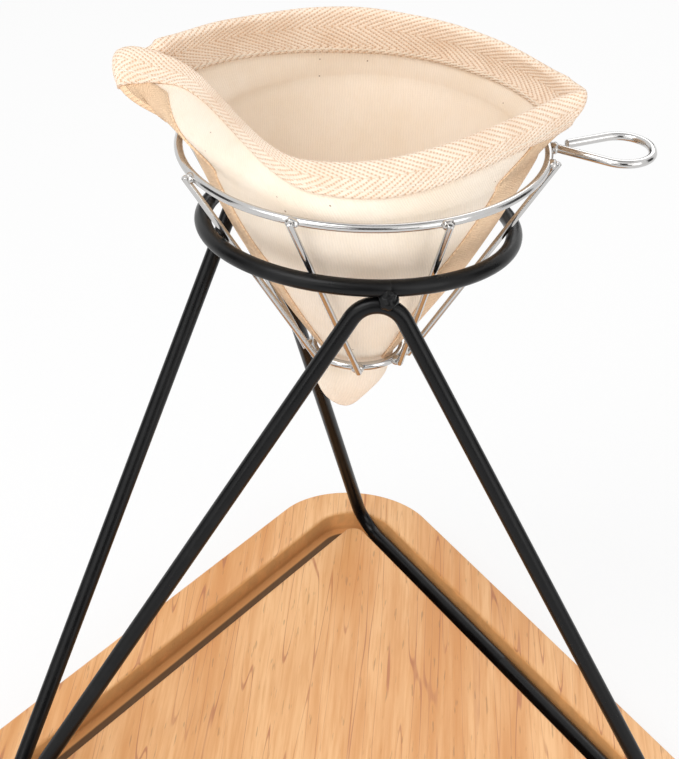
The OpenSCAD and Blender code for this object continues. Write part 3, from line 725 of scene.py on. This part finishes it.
def brushed_cotton(sizes):
    """Soft ribbed cotton with a few dark flecks of husk."""
    material, tree, shader = blank("brushed_cotton")
    uv, along, across = thread_place(tree)
    place = object_place(tree)
    wander = calc(tree, "MULTIPLY", cloud(tree, uv, 30, 2), 1.2)
    rib = calc(tree, "SINE", calc(tree, "MULTIPLY", calc(tree, "ADD", along, wander), 2 * math.pi / 0.8))
    pick = calc(tree, "SINE", calc(tree, "MULTIPLY", across, 2 * math.pi / 0.55))
    fuzz = cloud(tree, place, 2600, 4, 0.7)
    slub = cloud(tree, uv, 160, 4, 0.6, (1, 9, 1))
    cloudy = cloud(tree, place, 45, 3, 0.6)
    base = tuple(sizes.cloth_colour)
    shade = tuple(c * f for c, f in zip(base, (0.93, 0.88, 0.8)))
    colour_now = blend(tree, between(tree, cloudy, 0.3, 0.75, 0, 0.6), base, shade)
    colour_now = blend(tree, between(tree, slub, 0.5, 0.75, 0, 0.35), colour_now, shade)
    colour_now = blend(tree, between(tree, rib, -1, 1, 0.16, 0), colour_now, tuple(c * 0.72 for c in base))
    cells = node(tree, "ShaderNodeTexVoronoi", {"voronoi_dimensions": "2D"}, Vector=uv, Scale=7.5)
    chosen = node(tree, "ShaderNodeSeparateColor", Color=cells.outputs["Color"]).outputs[0]
    fleck = calc(tree, "MULTIPLY", between(tree, cells.outputs["Distance"], 0.024, 0.012), calc(tree, "GREATER_THAN", chosen, 0.62))
    colour_now = blend(tree, calc(tree, "MULTIPLY", fleck, 0.8), colour_now, (0.19, 0.085, 0.03))
    tree.links.new(colour_now, shader.inputs["Base Color"])
    shader.inputs["Roughness"].default_value = 0.95
    shader.inputs["Specular IOR Level"].default_value = 0.15
    shader.inputs["Sheen Weight"].default_value = 0.12
    relief = calc(tree, "MULTIPLY_ADD", rib, 0.35, calc(tree, "MULTIPLY", pick, 0.12))
    relief = calc(tree, "ADD", relief, calc(tree, "MULTIPLY", fuzz, 1.2))
    relief = calc(tree, "ADD", relief, calc(tree, "MULTIPLY", slub, 0.8))
    bump(tree, shader, relief, 0.00012, 0.55)
    return material


def herringbone(sizes, name, light, spine, pitch, rows, contrast):
    """Tape whose slanting threads turn back at each spine, sewn down along the given rows."""
    material, tree, shader = blank(name)
    uv, along, across = thread_place(tree)
    place = object_place(tree)
    zigzag = calc(tree, "PINGPONG", calc(tree, "ABSOLUTE", across), spine)
    wander = calc(tree, "MULTIPLY", cloud(tree, uv, 60, 2), 0.4)
    slant = math.radians(29)
    rise = calc(tree, "SUBTRACT", calc(tree, "MULTIPLY", along, math.sin(slant)), calc(tree, "MULTIPLY", zigzag, math.cos(slant)))
    ridge = calc(tree, "SINE", calc(tree, "MULTIPLY", calc(tree, "ADD", rise, wander), 2 * math.pi / pitch))
    run = calc(tree, "ADD", calc(tree, "MULTIPLY", along, math.cos(slant)), calc(tree, "MULTIPLY", zigzag, math.sin(slant)))
    beads = calc(tree, "SINE", calc(tree, "MULTIPLY", run, 2 * math.pi / (pitch * 0.8)))
    fuzz = cloud(tree, place, 2400, 4, 0.7)
    cloudy = cloud(tree, place, 70, 3, 0.6)
    dark = tuple(sizes.groove_colour)
    pit = calc(tree, "MULTIPLY", between(tree, ridge, 0.1, -0.9), between(tree, beads, 0.6, -0.7, 0.25, 1))
    colour_now = blend(tree, calc(tree, "MULTIPLY", pit, contrast), light, dark)
    colour_now = blend(tree, between(tree, cloudy, 0.35, 0.75, 0, 0.3), colour_now, dark)
    turn = between(tree, calc(tree, "ABSOLUTE", calc(tree, "SUBTRACT", zigzag, spine)), 0.25, 0.0)
    colour_now = blend(tree, calc(tree, "MULTIPLY", turn, contrast * 0.35), colour_now, dark)
    thread = None
    for row in rows:
        off = calc(tree, "ABSOLUTE", calc(tree, "SUBTRACT", across, row))
        dash = calc(tree, "PINGPONG", along, 1.3)
        one = calc(tree, "MULTIPLY", between(tree, off, 0.32, 0.16), between(tree, dash, 0.12, 0.3))
        thread = one if thread is None else calc(tree, "MAXIMUM", thread, one)
    colour_now = blend(tree, thread, colour_now, tuple(min(1, c * 1.04) for c in light))
    tree.links.new(colour_now, shader.inputs["Base Color"])
    shader.inputs["Roughness"].default_value = 0.9
    shader.inputs["Specular IOR Level"].default_value = 0.2
    shader.inputs["Sheen Weight"].default_value = 0.1
    relief = calc(tree, "MULTIPLY_ADD", ridge, 0.35, calc(tree, "MULTIPLY", beads, 0.2))
    relief = calc(tree, "SUBTRACT", calc(tree, "ADD", relief, calc(tree, "MULTIPLY", fuzz, 0.9)), calc(tree, "MULTIPLY", pit, 0.8))
    relief = calc(tree, "ADD", relief, calc(tree, "MULTIPLY", thread, 1.2))
    bump(tree, shader, relief, 0.00022, 0.7)
    return material


class STAND_OT_panels(bpy.types.Operator):
    """Front and back panel of the cloth filter"""

    bl_idname = "filter_stand.panels"
    bl_label = "Cloth panels"

    def execute(self, context):
        stand = context.scene.filter_stand
        form = ClothForm(stand.cloth, stand.basket)
        cotton = brushed_cotton(stand.cloth)
        columns, rows = 97, 91
        for name, side, replaced in (("cloth_front", -1, "front_panel"), ("cloth_back", 1, "back_panel")):

            def place(i, j):
                t, v = 2 * i / (columns - 1) - 1, 3 * j / (rows - 1)
                return form.point(min(v, 2.97), t, side, 0)

            bm = cloth_grid(columns, rows, place, None, columns // 2)
            if side > 0:
                bmesh.ops.reverse_faces(bm, faces=bm.faces)
            bm.transform(IN_BASKET)
            piece = finish_piece(name, bm, cotton, "filter", [replaced], 80)
            thicken(piece, form.cloth, 1)
        return {"FINISHED"}


class STAND_OT_tapes(bpy.types.Operator):
    """Herringbone tape folded over the rim and finer tape over both seams"""

    bl_idname = "filter_stand.tapes"
    bl_label = "Tapes"

    def execute(self, context):
        stand = context.scene.filter_stand
        s = stand.cloth
        form = ClothForm(s, stand.basket)
        outside, inside = s.outside / MM, s.inside / MM
        tape = herringbone(s, "herringbone_tape", tuple(s.tape_colour), 6.75, 1.3, (14.6, -10.4), 0.8)
        fine = herringbone(s, "seam_tape", tuple(s.seam_colour), 20.0, 0.8, (4.6, -8.0), 0.3)
        line = [2 * i / 120 - 1 for i in range(121)]
        even = [0.4 * a + 0.6 * math.asin(a) / (math.pi / 2) for a in line]
        stations = [(t, -1, 0) for t in even] + [(1, 0, i / 10) for i in range(1, 10)]
        stations += [(-t, 1, 0) for t in even] + [(-1, 0, 1 - i / 10) for i in range(1, 10)]
        stations.append(stations[0])
        out_rows, lip_rows, in_rows = 9, 9, 12
        rows = out_rows + lip_rows + in_rows
        fold = out_rows + lip_rows // 2
        k_out = form.cloth + form.tape
        cache = {}

        def at(n, v, k):
            t, side, turn = stations[n]
            return form.point(v, t, side, k) if side else form.around(v, t, turn, k)

        def swell(t, v_share):
            """The ears are rolled over, so the tape stands fuller there."""
            reach = 15 if t < 0 else 8
            near = 1 - min(1.0, (1 - abs(sind(90 * t))) * 60 / reach)
            return (1.8 if t < 0 else 1.1) * near * near * (3 - 2 * near) * v_share

        def rim_place(i, j):
            t, side, turn = stations[i]
            if i not in cache:
                face = side or -1
                low_out = form.level_below(t, face, outside)
                low_in = form.level_below(t, face, inside)
                room = abs(form.face(3, t, -1).y - form.face(3, t, 1).y) / 2
                cache[i] = (low_out, low_in, min(form.tape, 0.06 + room * 0.8) if side else 0.06)
            low_out, low_in, k_in = cache[i]
            if j < out_rows:
                return at(i, mix(low_out, 3, j / out_rows), k_out + swell(t, 0.3 + 0.7 * j / out_rows))
            if j < out_rows + lip_rows:
                a = 180 * (j - out_rows) / (lip_rows - 1)
                full = k_out + swell(t, 1)
                middle, half = (full - k_in) / 2, (full + k_in) / 2
                base = at(i, 3, middle + half * cosd(a))
                up = (at(i, 3, middle) - at(i, 2.93, middle)).normalized()
                return base + up * (1.5 + swell(t, 0.8)) * sind(a)
            return at(i, mix(3, low_in, (j - out_rows - lip_rows + 1) / in_rows), -k_in)

        bm = cloth_grid(len(stations), rows, rim_place, fold, 0)
        bmesh.ops.remove_doubles(bm, verts=bm.verts, dist=0.002)
        for end in (-1, 1):
            ear = form.face(2.96, end, 1)
            near = [v for v in bm.verts if not v.is_boundary and (v.co - ear).length < (10 if end < 0 else 8)]
            for _ in range(14):
                bmesh.ops.smooth_vert(bm, verts=near, factor=0.5, use_axis_x=True, use_axis_y=True, use_axis_z=True)
        bm.transform(IN_BASKET)
        rim = finish_piece("rim_binding", bm, tape, "filter", ["front_rim_tape", "back_rim_tape"], 80)
        thicken(rim, form.tape * 0.85, -1)
        for name, end, replaced in (("seam_binding_left", -1, "left_seam_tape"), ("seam_binding_right", 1, "right_seam_tape")):
            rows, wide = 60, 8

            def seam_place(i, j):
                if i < wide or i >= wide + 9:
                    side = -1 if i < wide else 1
                    share = i / wide if i < wide else (2 * wide + 8 - i) / wide
                    top = form.level_below(end, side, outside - 1.5)
                    v = mix(0.92, top, j / (rows - 1))
                    low, ring, ear = (0.5, 1, 1) if side > 0 else (0.5, 4.4, 2.6) if end < 0 else (0.5, 5.2, 2.4)
                    share_up = min(1, max(0, v - 0.9) / 0.7)
                    wide_here = mix(mix(low, ring, share_up), ear, min(1, max(0, v - 2) / 0.7)) * s.seam / MM
                    edge = form.beside_seam(v, side, end, wide_here)
                    return form.point(v, mix(edge, end, share), side, form.cloth + 0.75)
                top = form.level_below(end, -1, outside - 1.5)
                return form.around(mix(0.92, top, j / (rows - 1)), end, (i - wide) / 8, form.cloth + 0.75)

            bm = cloth_grid(2 * wide + 9, rows, lambda i, j: seam_place(i, j), rows // 2, wide + 4)
            bmesh.ops.remove_doubles(bm, verts=bm.verts, dist=0.002)
            for face in bm.faces:
                for loop in face.loops:
                    uv = loop[bm.loops.layers.uv.active]
                    uv.uv = (uv.uv.y, uv.uv.x)
            if end < 0:
                bmesh.ops.reverse_faces(bm, faces=bm.faces)
            bm.transform(IN_BASKET)
            piece = finish_piece(name, bm, fine, "filter", [replaced], 80)
            thicken(piece, 0.7, -1)
        return {"FINISHED"}


# Stage


class STAND_OT_stage(bpy.types.Operator):
    """Pale floor, soft light and the camera"""

    bl_idname = "filter_stand.stage"
    bl_label = "Stage"

    def execute(self, context):
        scene = context.scene
        bm = bmesh.new()
        bmesh.ops.create_grid(bm, x_segments=1, y_segments=1, size=6)
        mesh = bpy.data.meshes.new("floor")
        bm.to_mesh(mesh)
        bm.free()
        floor = bpy.data.objects.new("floor", mesh)
        scene.collection.objects.link(floor)
        material, tree, shader = blank("pale_floor")
        shader.inputs["Base Color"].default_value = (0.97, 0.97, 0.97, 1)
        shader.inputs["Roughness"].default_value = 0.9
        shader.inputs["Specular IOR Level"].default_value = 0
        path = node(tree, "ShaderNodeLightPath").outputs
        seen = calc(tree, "MAXIMUM", path["Is Camera Ray"], calc(tree, "MAXIMUM", path["Is Glossy Ray"], path["Is Transmission Ray"]))
        glow = node(tree, "ShaderNodeEmission", Strength=1.0).outputs[0]
        both = node(tree, "ShaderNodeMixShader", i0=calc(tree, "MULTIPLY", seen, 0.72), i1=shader.outputs[0], i2=glow).outputs[0]
        tree.links.new(both, tree.nodes["Material Output"].inputs["Surface"])
        mesh.materials.append(material)
        floor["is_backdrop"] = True
        for n, (at, width, tall) in enumerate((((0, -1.5, 0.62), 2.2, 0.9), ((-1.4, 0.0, 0.5), 0.7, 1.0), ((1.4, 0.2, 0.5), 0.7, 1.0), ((0, 1.6, 0.5), 1.4, 0.7), ((0, -0.8, 0.1), 1.0, 0.24), ((0, -0.2, 1.7), 1.2, 0.4))):
            bm = bmesh.new()
            bmesh.ops.create_grid(bm, x_segments=1, y_segments=1, size=0.5)
            bmesh.ops.scale(bm, vec=(width, tall, 1), verts=bm.verts)
            aim = (Vector((0, 0, 0.2)) - Vector(at)).to_track_quat("Z", "Y").to_matrix().to_4x4()
            bm.transform(Matrix.Translation(at) @ aim)
            mesh = bpy.data.meshes.new(f"dark_card_{n}")
            bm.to_mesh(mesh)
            bm.free()
            card = bpy.data.objects.new(mesh.name, mesh)
            scene.collection.objects.link(card)
            card.visible_camera = False
            card.visible_diffuse = False
            card.visible_shadow = False
            dark, tree, shader = blank(mesh.name)
            shader.inputs["Base Color"].default_value = (0.03, 0.03, 0.03, 1)
            mesh.materials.append(dark)
            card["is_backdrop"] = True
        world = scene.world or bpy.data.worlds.new("studio")
        scene.world = world
        world.use_nodes = True
        tree = world.node_tree
        path = node(tree, "ShaderNodeLightPath").outputs
        seen = calc(tree, "MAXIMUM", path["Is Camera Ray"], calc(tree, "MAXIMUM", path["Is Glossy Ray"], path["Is Transmission Ray"]))
        sky = tree.nodes["Background"]
        sky.inputs["Color"].default_value = (1, 1, 1, 1)
        tree.links.new(between(tree, seen, 0, 1, 0.6, 1.0), sky.inputs["Strength"])
        for name, at, size, power in (
            ("key", (-0.75, -0.75, 1.35), 0.9, 9.3),
            ("fill", (0.8, -1.0, 0.45), 1.0, 4.7),
            ("low", (-0.5, -1.1, 0.3), 0.8, 3.6),
            ("back", (0.3, 1.0, 1.1), 0.8, 3.6),
        ):
            lamp = bpy.data.lights.new(name, "AREA")
            lamp.size = size
            lamp.energy = power
            holder = bpy.data.objects.new(name, lamp)
            holder.location = at
            holder.rotation_euler = (Vector((0, -0.03, 0.15)) - Vector(at)).to_track_quat("-Z", "Y").to_euler()
            scene.collection.objects.link(holder)
        lens = bpy.data.cameras.new("camera")
        lens.sensor_fit = "HORIZONTAL"
        lens.sensor_width = 36
        lens.lens = 1923.733 * 36 / 679
        lens.shift_x = (339.5 - 373.476) / 679
        lens.shift_y = (391.214 - 379.5) / 679
        lens.clip_start = 0.01
        camera = bpy.data.objects.new("camera", lens)
        camera.location = (-0.008981, -0.558586, 0.418115)
        camera.rotation_euler = Euler([math.radians(a) for a in (62.16163659, -3.66812306, 0.81625761)], "XYZ")
        scene.collection.objects.link(camera)
        scene.camera = camera
        scene.view_settings.view_transform = "Standard"
        return {"FINISHED"}


OPERATORS = (STAND_OT_tray, STAND_OT_wire, STAND_OT_basket, STAND_OT_panels, STAND_OT_tapes, STAND_OT_stage)


class STAND_PT_pieces(bpy.types.Panel):
    """Pieces and sizes of the coffee filter stand"""

    bl_idname = "STAND_PT_pieces"
    bl_label = "Coffee filter stand"
    bl_space_type = "VIEW_3D"
    bl_region_type = "UI"
    bl_category = "Filter stand"

    def draw(self, context):
        for operator in OPERATORS:
            self.layout.operator(operator.bl_idname)
        stand = context.scene.filter_stand
        for group in (stand.tray, stand.stand, stand.basket, stand.cloth):
            box = self.layout.box()
            for key in group.__annotations__:
                box.prop(group, key)


CLASSES = (TraySizes, StandSizes, BasketSizes, FilterSizes, FilterStand, *OPERATORS, STAND_PT_pieces)


def register():
    for cls in CLASSES:
        bpy.utils.register_class(cls)
    bpy.types.Scene.filter_stand = bpy.props.PointerProperty(
        type=FilterStand, name="Filter stand", description="Sizes and colours of the stand"
    )


def unregister():
    del bpy.types.Scene.filter_stand
    for cls in reversed(CLASSES):
        bpy.utils.unregister_class(cls)


def main():
    register()
    pieces = bpy.ops.filter_stand
    for build in (pieces.tray, pieces.wire, pieces.basket, pieces.panels, pieces.tapes, pieces.stage):
        if build() != {"FINISHED"}:
            raise RuntimeError("a piece was not made")
    boxes = {"cad": CAD_BOX, "visual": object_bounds()}
    {k: [[float(x) for x in corner] for corner in box] for k, box in boxes.items()}


if __name__ == "__main__":
    main()
